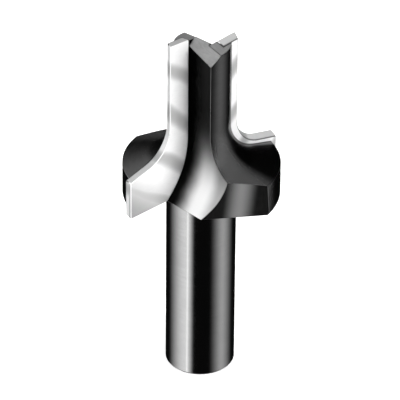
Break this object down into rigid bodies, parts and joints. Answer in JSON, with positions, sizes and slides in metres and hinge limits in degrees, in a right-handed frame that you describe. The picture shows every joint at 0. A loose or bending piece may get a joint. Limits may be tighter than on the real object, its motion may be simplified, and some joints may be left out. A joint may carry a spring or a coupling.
{
  "type": "straight router bit",
  "caption": "Brazed carbide router bit with a cylindrical shank, a straight nose, a concave corner and a flared sloping shoulder, for cutting a groove or edge profile in wood.",
  "frame": {"origin": "centre of the shank's end face, on the axis of rotation", "axes": "+Z along the axis from the shank's end to the cutting end, +X towards the cutting edge of the right wing; the bit turns anticlockwise seen from +Z"},
  "size_m": [0.0308, 0.0278, 0.0688],
  "materials": {
    "tool_steel": "turned and ground, dark heat-blackened head",
    "carbide": "fine diamond-ground satin",
    "silver_braze": "as brazed, dull"
  },
  "bodies": {
    "root": {"steel_body": "tool_steel", "carbide_tip_right": "carbide", "carbide_tip_left": "carbide", "braze_seam_right": "silver_braze", "braze_seam_left": "silver_braze"}
  },
  "joints": []
}
